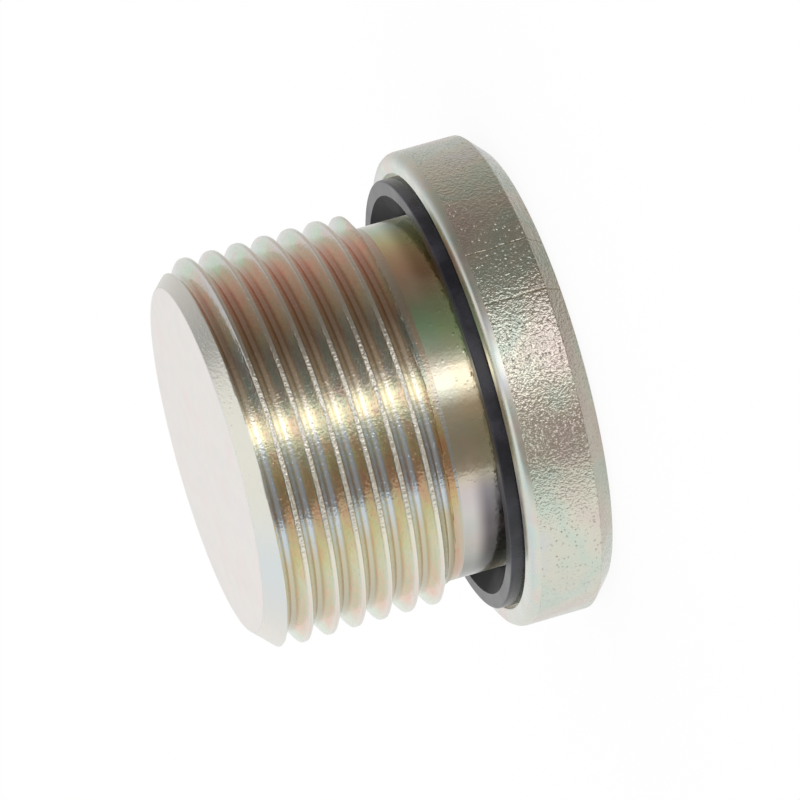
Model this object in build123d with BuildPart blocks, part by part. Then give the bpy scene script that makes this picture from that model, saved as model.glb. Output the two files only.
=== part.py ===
from build123d import *
import math
import os

# Hexagon-socket screw plug, metric fine thread M22 x 1.5, with a profile sealing ring held in the
# recess under its flange. The plug stands on its head: the head face lies on z = 0, the axis of the
# thread is the Z axis, and the threaded shank points along +Z. All sizes are in millimetres.

# ---- Driving sizes -----------------------------------------------------------------------------

# Head: a plain round flange, bevelled round its back
head_diameter = 26.9
head_height = 5.0            # head face to sealing face
head_bevel_width = 1.05      # across the radius
head_bevel_height = 1.0      # along the axis
rim_chamfer = 0.3            # between the side of the head and the sealing face

# Hexagon socket in the head face
socket_across_flats = 10.0
socket_depth = 7.0
socket_mouth_diameter = 12.0
socket_mouth_angle = 120.0   # included angle of the countersink
pilot_diameter = 9.4
pilot_point_angle = 118.0    # included angle of the drill point under the hexagon

# Threaded shank
shank_length = 14.0          # sealing face to free end
thread_diameter = 21.9       # M22, less the allowance of a plated external thread
thread_pitch = 1.5
thread_angle = 60.0          # between the flanks
thread_crest_width = 0.19
thread_depth = 0.9
lead_in_diameter = 19.45     # of the free end face
lead_in_angle = 45.0         # of the chamfer round it, to the axis

# Neck between thread and flange, where the thread runs out
neck_clearance = 0.1         # neck below the root of the thread, across the radius
neck_width = 3.0             # sealing face to the foot of the run-out cone
run_out_angle = 60.0         # of that cone, to the axis

# Recess for the sealing ring, cut in the sealing face
recess_depth = 0.8
sealing_rim_width = 1.1      # metal left outside the recess, across the radius

# Sealing ring: tall at its outer edge, with a bevel that falls to a thin lip at the neck
ring_thickness = 1.5
ring_band_width = 0.85       # flat band at the outer edge
ring_lip_thickness = 0.7
ring_edge_chamfer = 0.12     # on the outer edge of the flat band
ring_side_clearance = 0.2    # ring to the recess wall, across the radius
ring_bore_clearance = 0.05   # ring to the neck, across the radius

# Thread cutter
cutter_overrun = 0.1         # how far the cutter stands out past the crests

# ---- Sizes that follow --------------------------------------------------------------------------

total_length = head_height + shank_length

# Groove between two crests: its half width at the crests, its root radius, its half width there
thread_radius = thread_diameter / 2
root_radius = thread_radius - thread_depth
flank_slope = math.tan(math.radians(thread_angle / 2))
groove_half_width = (thread_pitch - thread_crest_width) / 2
root_half_width = groove_half_width - thread_depth * flank_slope

# Neck, which follows the thread, and the cones at both ends of the thread
neck_diameter = thread_diameter - 2 * (thread_depth + neck_clearance)
neck_radius = neck_diameter / 2
neck_top = head_height + neck_width
run_out_height = (thread_radius - neck_radius) / math.tan(math.radians(run_out_angle))
lead_in_radius = lead_in_diameter / 2
lead_in_height = (thread_radius - lead_in_radius) / math.tan(math.radians(lead_in_angle))

# Recess, which follows the head, and the ring between its wall and the neck
head_radius = head_diameter / 2
recess_diameter = head_diameter - 2 * sealing_rim_width
recess_radius = recess_diameter / 2
recess_floor = head_height - recess_depth
ring_bore_radius = neck_radius + ring_bore_clearance
ring_outer_radius = recess_radius - ring_side_clearance
ring_top = recess_floor + ring_thickness

# Socket: its flats, its mouth and its drill point
flat_radius = socket_across_flats / 2
socket_mouth_radius = socket_mouth_diameter / 2
mouth_cone_height = socket_mouth_radius / math.tan(math.radians(socket_mouth_angle / 2))
pilot_radius = pilot_diameter / 2
pilot_point_height = pilot_radius / math.tan(math.radians(pilot_point_angle / 2))

# The cutter stands out past the crests, enters in the open space round the neck, clear of the
# run-out cone, and leaves past the free end
cutter_radius = thread_radius + cutter_overrun
cutter_half_width = groove_half_width + cutter_overrun * flank_slope
cutter_start = neck_top - root_half_width
groove_turns = math.ceil((total_length + cutter_half_width - cutter_start) / thread_pitch)

# ---- Thread cutter: one turn of the groove --------------------------------------------------------

with BuildPart() as groove_turn:
    with BuildLine() as groove_path:
        Helix(pitch=thread_pitch, height=thread_pitch, radius=thread_radius, center=(0, 0, cutter_start))
    with BuildSketch(Plane.XZ) as groove_section:
        with BuildLine() as groove_outline:
            Polyline(
                (cutter_radius, cutter_start - cutter_half_width),
                (root_radius, cutter_start - root_half_width),
                (root_radius, cutter_start + root_half_width),
                (cutter_radius, cutter_start + cutter_half_width),
                close=True,
            )
        make_face()
    sweep(sections=groove_section.sketch, path=groove_path.wires()[0], is_frenet=True)

# ---- Plug body: one turned piece ------------------------------------------------------------------

with BuildPart() as plug_body:
    # Turned blank: bevelled head, recess, neck, run-out cone, shank and lead-in chamfer
    with BuildSketch(Plane.XZ) as blank_section:
        with BuildLine() as blank_outline:
            Polyline(
                (0, 0),
                (head_radius - head_bevel_width, 0),
                (head_radius, head_bevel_height),
                (head_radius, head_height),
                (recess_radius, head_height),
                (recess_radius, recess_floor),
                (neck_radius, recess_floor),
                (neck_radius, neck_top),
                (thread_radius, neck_top + run_out_height),
                (thread_radius, total_length - lead_in_height),
                (lead_in_radius, total_length),
                (0, total_length),
                close=True,
            )
        make_face()
        rim_corner = blank_section.vertices().sort_by_distance((head_radius, head_height))[:1]
        chamfer(rim_corner, length=rim_chamfer)
    revolve(axis=Axis.Z)

    # Thread: the turn of groove is cut again one pitch further on, until it is past the free end
    with Locations([(0, 0, turn * thread_pitch) for turn in range(groove_turns)]):
        add(groove_turn.part, mode=Mode.SUBTRACT)

    # Hexagon socket: six flats, a countersunk mouth, and the drill point below them
    with BuildSketch(Plane.XY) as socket_section:
        RegularPolygon(radius=flat_radius, side_count=6, major_radius=False)
    extrude(amount=socket_depth, mode=Mode.SUBTRACT)
    with BuildSketch(Plane.XZ) as pilot_section:
        with BuildLine() as mouth_outline:
            Polyline((0, 0), (socket_mouth_radius, 0), (0, mouth_cone_height), close=True)
        make_face()
        with BuildLine() as point_outline:
            Polyline(
                (0, socket_depth),
                (pilot_radius, socket_depth),
                (0, socket_depth + pilot_point_height),
                close=True,
            )
        make_face()
    revolve(axis=Axis.Z, mode=Mode.SUBTRACT)

plug_body.part.label = "plug_body"

# ---- Sealing ring, lying on the floor of the recess -------------------------------------------------

with BuildPart() as sealing_ring:
    with BuildSketch(Plane.XZ) as ring_section:
        with BuildLine() as ring_outline:
            Polyline(
                (ring_bore_radius, recess_floor),
                (ring_outer_radius, recess_floor),
                (ring_outer_radius, ring_top),
                (ring_outer_radius - ring_band_width, ring_top),
                (ring_bore_radius, recess_floor + ring_lip_thickness),
                close=True,
            )
        make_face()
        band_corner = ring_section.vertices().sort_by_distance((ring_outer_radius, ring_top))[:1]
        chamfer(band_corner, length=ring_edge_chamfer)
    revolve(axis=Axis.Z)

sealing_ring.part.label = "sealing_ring"

# ---- Files ---------------------------------------------------------------------------------------

os.makedirs("parts", exist_ok=True)
export_step(plug_body.part, "parts/plug_body.step")
export_step(sealing_ring.part, "parts/sealing_ring.step")
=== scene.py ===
"""Hex socket plug: a zinc-plated steel screw plug and its sealing ring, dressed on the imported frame.

The plug stands on its head: the head face lies on z = 0, the thread's axis is Z, and the threaded
shank points up. Sizes are in millimetres and every mesh is made in metres.
"""

import logging
import math
from dataclasses import dataclass, field
from enum import Enum

import bmesh
import bpy
import numpy as np
from mathutils import Matrix, Vector


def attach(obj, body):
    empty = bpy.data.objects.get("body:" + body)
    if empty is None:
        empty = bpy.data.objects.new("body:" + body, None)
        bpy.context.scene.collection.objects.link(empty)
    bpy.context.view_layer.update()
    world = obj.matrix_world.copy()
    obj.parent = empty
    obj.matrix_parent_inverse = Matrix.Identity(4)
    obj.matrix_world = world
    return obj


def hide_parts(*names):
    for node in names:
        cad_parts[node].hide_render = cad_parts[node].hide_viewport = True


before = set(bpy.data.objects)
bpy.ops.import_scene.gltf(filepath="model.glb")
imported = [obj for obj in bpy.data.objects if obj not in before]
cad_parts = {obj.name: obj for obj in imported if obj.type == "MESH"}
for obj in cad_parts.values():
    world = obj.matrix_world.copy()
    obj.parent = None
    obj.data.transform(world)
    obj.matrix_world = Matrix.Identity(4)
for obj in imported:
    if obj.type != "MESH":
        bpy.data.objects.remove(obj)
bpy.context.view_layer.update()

log = logging.getLogger("hex_socket_plug")

MM = 0.001
VIEW_SIDE = 800
SENSOR_WIDTH = 36.0
MERGE_DISTANCE = 0.001 * MM
SHARP_ANGLE = math.radians(32)
FULL_TURN = 2 * math.pi
ROOT_BODY = "root"

Point = tuple[float, float]
Colour = tuple[float, float, float]
Span = tuple[float, float]
RoundTints = tuple[tuple[float, Colour], ...]
Sockets = tuple[bpy.types.NodeSocket, ...]


class Region(Enum):
    """The differently finished places of the turned body, in the order of its material slots."""

    THREAD = 0
    NECK = 1
    FLANGE = 2
    HEAD_SIDE = 3
    END_FACE = 4
    SOCKET = 5


# ---- Node helpers ---------------------------------------------------------------------------------


class NodeSheet:
    """A node tree with short calls that add its nodes and join them."""

    def __init__(self, tree: bpy.types.NodeTree) -> None:
        """Keeps the tree and clears it.

        Args:
            tree: the node tree to fill.
        """
        self.tree = tree
        tree.nodes.clear()

    def add(self, kind: str, **settings: object) -> bpy.types.Node:
        """Adds a node.

        Args:
            kind: the node's type name.
            settings: properties set on it.

        Returns:
            The new node.
        """
        node = self.tree.nodes.new(kind)
        for name, value in settings.items():
            setattr(node, name, value)
        return node

    def feed(self, target: bpy.types.NodeSocket, value: object) -> None:
        """Joins a socket to an input, or sets the input to a plain value.

        Args:
            target: the input socket.
            value: an output socket, a number or a tuple.
        """
        if isinstance(value, bpy.types.NodeSocket):
            self.tree.links.new(value, target)
        else:
            target.default_value = value

    def math(self, operation: str, *values: object) -> bpy.types.NodeSocket:
        """Adds a math node.

        Args:
            operation: the operation's name.
            values: its inputs, as sockets or numbers.

        Returns:
            The result's socket.
        """
        node = self.add("ShaderNodeMath", operation=operation)
        for target, value in zip(node.inputs, values):
            self.feed(target, value)
        return node.outputs[0]

    def ramp(self, value: object, stops: list[tuple[float, Colour]]) -> bpy.types.NodeSocket:
        """Adds a colour ramp.

        Args:
            value: what the ramp is read at.
            stops: each stop's place and colour.

        Returns:
            The colour's socket.
        """
        node = self.add("ShaderNodeValToRGB")
        elements = node.color_ramp.elements
        while len(elements) < len(stops):
            elements.new(1.0)
        for element, (place, colour) in zip(elements, stops):
            element.position = place
            element.color = (*colour, 1.0)
        self.feed(node.inputs[0], value)
        return node.outputs[0]

    def span(self, value: object, low: float, high: float, start: float = 0.0,
             end: float = 1.0) -> bpy.types.NodeSocket:
        """Maps a range on another, with soft ends.

        Args:
            value: what is mapped.
            low: the range's start.
            high: the range's end.
            start: the result at the start.
            end: the result at the end.

        Returns:
            The result's socket.
        """
        node = self.add("ShaderNodeMapRange", interpolation_type="SMOOTHSTEP")
        for name, number in (("From Min", low), ("From Max", high), ("To Min", start), ("To Max", end)):
            node.inputs[name].default_value = number
        self.feed(node.inputs["Value"], value)
        return node.outputs["Result"]

    def mix(self, factor: object, first: object, second: object,
            blend: str = "MIX") -> bpy.types.NodeSocket:
        """Mixes two colours.

        Args:
            factor: how much of the second.
            first: a colour or a socket.
            second: a colour or a socket.
            blend: the way that they mix.

        Returns:
            The colour's socket.
        """
        node = self.add("ShaderNodeMix", data_type="RGBA", blend_type=blend)
        self.feed(node.inputs[0], factor)
        for target, value in ((node.inputs[6], first), (node.inputs[7], second)):
            self.feed(target, (*value, 1.0) if isinstance(value, tuple) else value)
        return node.outputs[2]

    def tinted(self, colour: object, tint: object) -> bpy.types.NodeSocket:
        """Multiplies a colour by a tint.

        Args:
            colour: a colour or a socket.
            tint: a colour or a socket.

        Returns:
            The colour's socket.
        """
        return self.mix(1.0, colour, tint, "MULTIPLY")

    def noise(self, vector: object, scale: object, detail: float = 3.0,
              roughness: float = 0.5) -> bpy.types.NodeSocket:
        """Adds a noise texture.

        Args:
            vector: where it is read.
            scale: its cells to the metre, or a socket.
            detail: its octaves.
            roughness: how strong the finer octaves are.

        Returns:
            The socket of its value.
        """
        node = self.add("ShaderNodeTexNoise")
        values = {"Vector": vector, "Scale": scale, "Detail": detail, "Roughness": roughness}
        for name, value in values.items():
            self.feed(node.inputs[name], value)
        return node.outputs[0]

    def wander(self, vector: object, scale: float, reach: float) -> bpy.types.NodeSocket:
        """Adds a noise that wanders to both sides of nothing.

        Args:
            vector: where it is read.
            scale: its cells to the metre.
            reach: how far it wanders, from side to side.

        Returns:
            The socket of its value.
        """
        centred = self.math("SUBTRACT", self.noise(vector, scale, 2.0, 0.5), 0.5)
        return self.math("MULTIPLY", centred, reach)

    def effect(self, tree: bpy.types.NodeTree, values: dict[str, object]) -> bpy.types.Node:
        """Places a node group.

        Args:
            tree: the group's tree.
            values: its inputs, by name.

        Returns:
            The group's node.
        """
        node = self.add("ShaderNodeGroup", node_tree=tree)
        for name, value in values.items():
            self.feed(node.inputs[name], value)
        return node

    def bump(self, height: object, depth: float) -> bpy.types.NodeSocket:
        """Adds a bump.

        Args:
            height: the height's socket.
            depth: what a height of 1 stands for, in metres.

        Returns:
            The normal's socket.
        """
        node = self.add("ShaderNodeBump")
        node.inputs["Distance"].default_value = depth
        self.feed(node.inputs["Height"], height)
        return node.outputs[0]

    def split(self, vector: object) -> bpy.types.NodeOutputs:
        """Takes a vector apart.

        Args:
            vector: the vector's socket.

        Returns:
            The sockets of its three numbers.
        """
        node = self.add("ShaderNodeSeparateXYZ")
        self.feed(node.inputs[0], vector)
        return node.outputs

    def place(self, x: object, y: object, z: object) -> bpy.types.NodeSocket:
        """Joins three numbers to a vector.

        Args:
            x: its first number.
            y: its second number.
            z: its third number.

        Returns:
            The vector's socket.
        """
        node = self.add("ShaderNodeCombineXYZ")
        for target, value in zip(node.inputs, (x, y, z)):
            self.feed(target, value)
        return node.outputs[0]


def new_group(name: str, inputs: dict[str, str],
              outputs: dict[str, str]) -> tuple[NodeSheet, bpy.types.Node, bpy.types.Node]:
    """Makes an empty shader node group with named sockets.

    Args:
        name: the group's name.
        inputs: each input's name and socket type.
        outputs: each output's name and socket type.

    Returns:
        The group's sheet, its input node and its output node.
    """
    tree = bpy.data.node_groups.new(name, "ShaderNodeTree")
    sheet = NodeSheet(tree)
    for in_out, sockets in (("INPUT", inputs), ("OUTPUT", outputs)):
        for label, kind in sockets.items():
            tree.interface.new_socket(label, in_out=in_out, socket_type=kind)
    return sheet, sheet.add("NodeGroupInput"), sheet.add("NodeGroupOutput")


# ---- Shared surface effects -----------------------------------------------------------------------


@dataclass(frozen=True)
class SurfaceEffects:
    """Node groups that more than one finish uses.

    Attributes:
        film: the passivation film's faint interference colours.
        grain: the fine grain of plated steel, as a height.
    """

    film: bpy.types.NodeTree
    grain: bpy.types.NodeTree


WHITE: Colour = (1.0, 1.0, 1.0)

DRIFTING_FILM: list[tuple[float, Colour]] = [
    (0.30, (0.88, 0.88, 1.0)),
    (0.40, (0.97, 0.93, 0.80)),
    (0.47, (0.78, 0.95, 0.84)),
    (0.54, (1.0, 0.94, 0.80)),
    (0.64, (1.0, 0.77, 0.72)),
]


def make_film_group() -> bpy.types.NodeTree:
    """Makes the passivation film: straw, rose, lavender and mint that drift over the plating.

    Returns:
        The node group, with a colour.
    """
    sheet, given, result = new_group(
        "passivation_film",
        {"Vector": "NodeSocketVector", "Patch Scale": "NodeSocketFloat", "Strength": "NodeSocketFloat"},
        {"Color": "NodeSocketColor"},
    )
    drift = sheet.noise(given.outputs["Vector"], given.outputs["Patch Scale"], 2.5, 0.55)
    film = sheet.ramp(drift, DRIFTING_FILM)
    sheet.feed(result.inputs["Color"], sheet.mix(given.outputs["Strength"], WHITE, film))
    return sheet.tree


NODULE_SPAN: Span = (0.34, 0.04)


def make_grain_group() -> bpy.types.NodeTree:
    """Makes the grain of plated steel: orange peel, a finer tooth on it, and scattered nodules.

    Returns:
        The node group, with a height.
    """
    numbers = ("Peel Scale", "Tooth Scale", "Tooth Share", "Nodule Scale", "Nodule Share")
    sheet, given, result = new_group(
        "plating_grain",
        {"Vector": "NodeSocketVector"} | {name: "NodeSocketFloat" for name in numbers},
        {"Height": "NodeSocketFloat"},
    )
    where = given.outputs["Vector"]
    peel = sheet.noise(where, given.outputs["Peel Scale"], 2.0, 0.5)
    tooth = sheet.noise(where, given.outputs["Tooth Scale"], 1.0, 0.5)
    fine = sheet.math("MULTIPLY", tooth, given.outputs["Tooth Share"])
    cells = sheet.add("ShaderNodeTexVoronoi")
    sheet.feed(cells.inputs["Vector"], where)
    sheet.feed(cells.inputs["Scale"], given.outputs["Nodule Scale"])
    chance = sheet.split(cells.outputs["Color"])[0]
    nodule = sheet.math("MULTIPLY", sheet.span(cells.outputs["Distance"], *NODULE_SPAN), chance)
    nodule = sheet.math("MULTIPLY", nodule, given.outputs["Nodule Share"])
    sheet.feed(result.inputs["Height"], sheet.math("ADD", sheet.math("ADD", peel, fine), nodule))
    return sheet.tree


# ---- Finishes -------------------------------------------------------------------------------------


@dataclass(frozen=True)
class PlatedFinish:
    """Zinc-plated and passivated steel.

    Attributes:
        name: the material's name.
        base: the colour of the bare plating.
        roughness: its gloss at the smoothest places.
        roughness_spread: how much rougher the dull places are.
        film_scale: patches of film to the metre.
        film_strength: how much the film colours the plating.
        film_stretch: how far the patches are drawn out round the axis.
        peel_scale: orange-peel cells to the metre.
        tooth_scale: cells of the finer tooth to the metre.
        tooth_share: the tooth's height beside the peel's.
        nodule_scale: cells of the nodules to the metre.
        nodule_share: the nodules' height beside the peel's.
        grain_depth: height of the grain, in metres.
        round_film_and_painted_shade: tints of the film round the axis, each at its degrees from +X; on
            the neck some of them are painted shade.
        round_drift: how far those tints wander, as a share of a turn.
        round_scale: how often they wander, to the metre.
        dull_span: the part of a noise over which the plating goes dull.
        dull_scale: cells of that noise to a patch of film.
    """

    name: str
    base: Colour = (0.83, 0.81, 0.75)
    roughness: float = 0.16
    roughness_spread: float = 0.10
    film_scale: float = 260.0
    film_strength: float = 0.45
    film_stretch: float = 1.0
    peel_scale: float = 3200.0
    tooth_scale: float = 9000.0
    tooth_share: float = 0.3
    nodule_scale: float = 3600.0
    nodule_share: float = 0.0
    grain_depth: float = 0.000004
    round_film_and_painted_shade: RoundTints = ()
    round_drift: float = 0.05
    round_scale: float = 240.0
    dull_span: Span = (0.35, 0.7)
    dull_scale: float = 3.0

    def make(self, effects: SurfaceEffects) -> bpy.types.Material:
        """Makes the material.

        Args:
            effects: the shared node groups.

        Returns:
            The material.
        """
        material = bpy.data.materials.new(self.name)
        material.use_nodes = True
        sheet = NodeSheet(material.node_tree)
        output = sheet.add("ShaderNodeOutputMaterial")
        steel = sheet.add("ShaderNodeBsdfPrincipled")
        sheet.feed(output.inputs["Surface"], steel.outputs[0])
        steel.inputs["Metallic"].default_value = 1.0

        where = sheet.add("ShaderNodeTexCoord").outputs["Object"]
        drawn = sheet.add("ShaderNodeMapping")
        sheet.feed(drawn.inputs["Vector"], where)
        drawn.inputs["Scale"].default_value = (1.0, 1.0, self.film_stretch)
        film = sheet.effect(effects.film, {
            "Vector": drawn.outputs[0],
            "Patch Scale": self.film_scale,
            "Strength": self.film_strength,
        })
        colour = sheet.tinted(self.base, film.outputs["Color"])
        # Film tints round the axis; on the neck they also hold painted shade
        if self.round_film_and_painted_shade:
            colour = sheet.tinted(colour, self.round_colour(sheet, where, self.round_film_and_painted_shade))

        dull = sheet.noise(where, self.film_scale * self.dull_scale, 3.0, 0.6)
        gloss = sheet.span(dull, *self.dull_span, self.roughness, self.roughness + self.roughness_spread)

        grain = sheet.effect(effects.grain, {
            "Vector": where,
            "Peel Scale": self.peel_scale,
            "Tooth Scale": self.tooth_scale,
            "Tooth Share": self.tooth_share,
            "Nodule Scale": self.nodule_scale,
            "Nodule Share": self.nodule_share,
        })
        colour, gloss, height = self.detail(sheet, where, colour, gloss, grain.outputs["Height"])
        sheet.feed(steel.inputs["Base Color"], colour)
        sheet.feed(steel.inputs["Roughness"], gloss)
        sheet.feed(steel.inputs["Normal"], sheet.bump(height, self.grain_depth))
        return material

    def detail(self, sheet: NodeSheet, where: bpy.types.NodeSocket, colour: bpy.types.NodeSocket,
               gloss: bpy.types.NodeSocket, height: bpy.types.NodeSocket) -> Sockets:
        """Adds what only one kind of surface has. Here that is nothing.

        Args:
            sheet: the material's nodes.
            where: the place on the piece.
            colour: the plating's colour so far.
            gloss: its roughness so far.
            height: its grain so far.

        Returns:
            The colour, the roughness and the height.
        """
        return colour, gloss, height

    def turn_share(self, sheet: NodeSheet, where: bpy.types.NodeSocket) -> bpy.types.NodeSocket:
        """Says how far round the axis a place is.

        Args:
            sheet: the material's nodes.
            where: the place on the piece.

        Returns:
            The share of a turn from +X, from 0 to 1.
        """
        x, y = (sheet.math("MULTIPLY", part, -1.0) for part in list(sheet.split(where))[:2])
        return sheet.math("ADD", sheet.math("DIVIDE", sheet.math("ARCTAN2", y, x), FULL_TURN), 0.5)

    def round_colour(self, sheet: NodeSheet, where: bpy.types.NodeSocket,
                     tints: RoundTints) -> bpy.types.NodeSocket:
        """Makes a tint from how far round the axis a place is, with edges that wander.

        Args:
            sheet: the material's nodes.
            where: the place on the piece.
            tints: each tint and its degrees from +X.

        Returns:
            The colour's socket.
        """
        drift = sheet.wander(where, self.round_scale, self.round_drift)
        share = sheet.math("ADD", self.turn_share(sheet, where), drift)
        return sheet.ramp(share, [(degrees / 360, tint) for degrees, tint in tints])


@dataclass(frozen=True)
class ThreadFinish(PlatedFinish):
    """The plating on the thread, with worn, beaded crests, flanks of two film colours and painted shade
    in the groove's root.

    Attributes:
        pitch: the thread's pitch, in metres.
        groove_height: height of the groove's middle on the +X side, in metres.
        lower_film: tints round the axis of the flanks that face the head.
        lower_reach: how far that film goes on past the root, as a share of the pitch.
        lower_fades: the lengths over which it fades, past the root and at the crest, as such shares.
        crest_phase: the crest's place in a pitch, counted from the groove's middle.
        root_painted_shade: painted shade in the groove's root, tinted round the axis.
        worn_round: how worn and bright the crests are round the axis, as greys.
        pale_crest: the colour of the thin, dull film on the crests that aren't worn.
        pale_share: how much of that colour they have.
        pale_span: how far from the crest that colour fades, as shares of the pitch.
        root_shade_span: how far from the crest the painted shade begins, as shares of the pitch.
        worn_from: radius where a crest begins to be worn, in metres.
        worn_full: radius where it is fully worn, in metres.
        crest_colour: the worn crests' colour.
        crest_roughness: their roughness.
        torn_roughness: the roughness of the torn metal where the thread runs out.
        torn_shade: how much darker that metal is.
        bead_scale: their beads to the metre.
        bead_height: the height of a bead, in metres.
        torn_top: top of the torn metal where the thread runs out, in metres.
        torn_fade: the height over which it fades, in metres.
        lead_in_from: height where the lead-in's paler, duller film begins, in metres.
        lead_in_full: height where it is full, in metres.
        lead_in_roughness: its roughness.
        lead_in_share: how far its colour is the worn crests' one.
    """

    pitch: float = 0.0015
    groove_height: float = 0.0078646
    lower_film: RoundTints = ()
    lower_reach: float = 0.14
    lower_fades: Span = (0.06, 0.04)
    crest_phase: float = 0.5
    root_painted_shade: RoundTints = ()
    worn_round: RoundTints = ()
    pale_crest: Colour = (0.93, 0.91, 0.88)
    pale_share: float = 0.6
    pale_span: Span = (0.20, 0.08)
    root_shade_span: Span = (0.30, 0.43)
    worn_from: float = 0.01079
    worn_full: float = 0.01090
    crest_colour: Colour = (0.95, 0.91, 0.82)
    crest_roughness: float = 0.18
    torn_roughness: float = 0.20
    torn_shade: Colour = (0.74, 0.70, 0.64)
    bead_scale: float = 6000.0
    bead_height: float = 0.00007
    torn_top: float = 0.0086
    torn_fade: float = 0.0003
    lead_in_from: float = 0.0177
    lead_in_full: float = 0.0182
    lead_in_roughness: float = 0.26
    lead_in_share: float = 0.6

    def detail(self, sheet: NodeSheet, where: bpy.types.NodeSocket, colour: bpy.types.NodeSocket,
               gloss: bpy.types.NodeSocket, height: bpy.types.NodeSocket) -> Sockets:
        """Adds the lower flanks' film, the painted shade in the groove's root, the worn crests and the
        torn run-out.

        Args:
            sheet: the material's nodes.
            where: the place on the piece.
            colour: the plating's colour so far.
            gloss: its roughness so far.
            height: its grain so far.

        Returns:
            The colour, the roughness and the height.
        """
        x, y, z = sheet.split(where)
        rise = sheet.math("DIVIDE", sheet.math("SUBTRACT", z, self.groove_height), self.pitch)
        phase = sheet.math("FRACT", sheet.math("SUBTRACT", rise, self.turn_share(sheet, where)))

        shifted = sheet.math("FRACT", sheet.math("ADD", phase, self.lower_reach))
        lower_end = self.crest_phase + self.lower_reach
        root_fade, crest_fade = self.lower_fades
        lower = sheet.math("MULTIPLY", sheet.span(shifted, 0.0, root_fade),
                           sheet.span(shifted, lower_end, lower_end - crest_fade))
        lower_colour = sheet.tinted(self.base, self.round_colour(sheet, where, self.lower_film))
        colour = sheet.mix(lower, colour, lower_colour)

        from_crest = sheet.math("ABSOLUTE", sheet.math("SUBTRACT", phase, self.crest_phase))
        # Painted shade in the groove's root, darker at some places round the axis
        root_shaded = sheet.tinted(colour, self.round_colour(sheet, where, self.root_painted_shade))
        colour = sheet.mix(sheet.span(from_crest, *self.root_shade_span), colour, root_shaded)

        worn = sheet.split(self.round_colour(sheet, where, self.worn_round))[0]
        unworn = sheet.math("SUBTRACT", 1.0, worn)
        dull_crest = sheet.math("MULTIPLY", sheet.span(from_crest, *self.pale_span), unworn)
        pale = sheet.math("MULTIPLY", dull_crest, self.pale_share)
        colour = sheet.mix(pale, colour, self.pale_crest)

        x_square, y_square = (sheet.math("POWER", part, 2.0) for part in (x, y))
        radius = sheet.math("SQRT", sheet.math("ADD", x_square, y_square))
        crest = sheet.math("MULTIPLY", sheet.span(radius, self.worn_from, self.worn_full), worn)
        torn = sheet.span(z, self.torn_top, self.torn_top - self.torn_fade)
        lead_in = sheet.span(z, self.lead_in_from, self.lead_in_full)
        lead_in_colour = sheet.mix(self.lead_in_share, self.base, self.crest_colour)
        colour = sheet.mix(crest, colour, self.crest_colour)
        colour = sheet.mix(torn, colour, sheet.tinted(colour, self.torn_shade))
        colour = sheet.mix(lead_in, colour, lead_in_colour)
        for mask, roughness in ((crest, self.crest_roughness), (torn, self.torn_roughness),
                                (lead_in, self.lead_in_roughness)):
            gloss = sheet.math("MAXIMUM", gloss, sheet.math("MULTIPLY", mask, roughness))
        beads = sheet.math("MULTIPLY", sheet.noise(where, self.bead_scale, 2.0, 0.6), crest)
        raised = sheet.math("MULTIPLY", beads, self.bead_height / self.grain_depth)
        return colour, gloss, sheet.math("ADD", height, raised)


@dataclass(frozen=True)
class NeckFinish(PlatedFinish):
    """The plating on the neck, with a painted dark reflection of the seal near it.

    This painted dark stands for the seal's own reflection, which the metal doesn't show.

    Attributes:
        painted_seal_reflection: shades of the painted dark reflection of the seal round the axis, each
            at its degrees from +X.
        reflection_top: height where the painted reflection begins, in metres.
        reflection_full: height where it is full, in metres.
    """

    painted_seal_reflection: RoundTints = ()
    reflection_top: float = 0.0071
    reflection_full: float = 0.0061

    def detail(self, sheet: NodeSheet, where: bpy.types.NodeSocket, colour: bpy.types.NodeSocket,
               gloss: bpy.types.NodeSocket, height: bpy.types.NodeSocket) -> Sockets:
        """Adds the painted dark reflection of the seal.

        Args:
            sheet: the material's nodes.
            where: the place on the piece.
            colour: the plating's colour so far.
            gloss: its roughness so far.
            height: its grain so far.

        Returns:
            The colour, the roughness and the height.
        """
        # Painted dark reflection of the seal, low on the neck
        low = sheet.span(sheet.split(where)[2], self.reflection_top, self.reflection_full)
        reflected = sheet.tinted(colour, self.round_colour(sheet, where, self.painted_seal_reflection))
        return sheet.mix(low, colour, reflected), gloss, height


@dataclass(frozen=True)
class HeadSideFinish(PlatedFinish):
    """The plating on the side of the head, with fine scratches that run along the axis.

    Attributes:
        scratches: each scratch's degrees from +X.
        scratch_width: half its width, as a share of a turn.
        scratch_shade: how much darker it is.
        scratch_depth: its depth beside the grain's.
        scratch_core: the part of its width that is fully scratched.
        wander_scale: how often it wanders, to the metre.
        wander_reach: how far it wanders, as a share of a turn.
    """

    scratches: tuple[float, ...] = (206.7, 219.7)
    scratch_width: float = 0.0011
    scratch_shade: Colour = (0.80, 0.77, 0.72)
    scratch_depth: float = 0.25
    scratch_core: float = 0.3
    wander_scale: float = 500.0
    wander_reach: float = 0.004

    def detail(self, sheet: NodeSheet, where: bpy.types.NodeSocket, colour: bpy.types.NodeSocket,
               gloss: bpy.types.NodeSocket, height: bpy.types.NodeSocket) -> Sockets:
        """Adds the scratches.

        Args:
            sheet: the material's nodes.
            where: the place on the piece.
            colour: the plating's colour so far.
            gloss: its roughness so far.
            height: its grain so far.

        Returns:
            The colour, the roughness and the height.
        """
        wander = sheet.wander(where, self.wander_scale, self.wander_reach)
        turn = sheet.math("ADD", self.turn_share(sheet, where), wander)
        for degrees in self.scratches:
            away = sheet.math("ABSOLUTE", sheet.math("SUBTRACT", turn, degrees / 360))
            scratch = sheet.span(away, self.scratch_width, self.scratch_width * self.scratch_core)
            colour = sheet.mix(scratch, colour, sheet.tinted(colour, self.scratch_shade))
            depth = sheet.math("MULTIPLY", scratch, self.scratch_depth)
            height = sheet.math("SUBTRACT", height, depth)
        return colour, gloss, height


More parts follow.
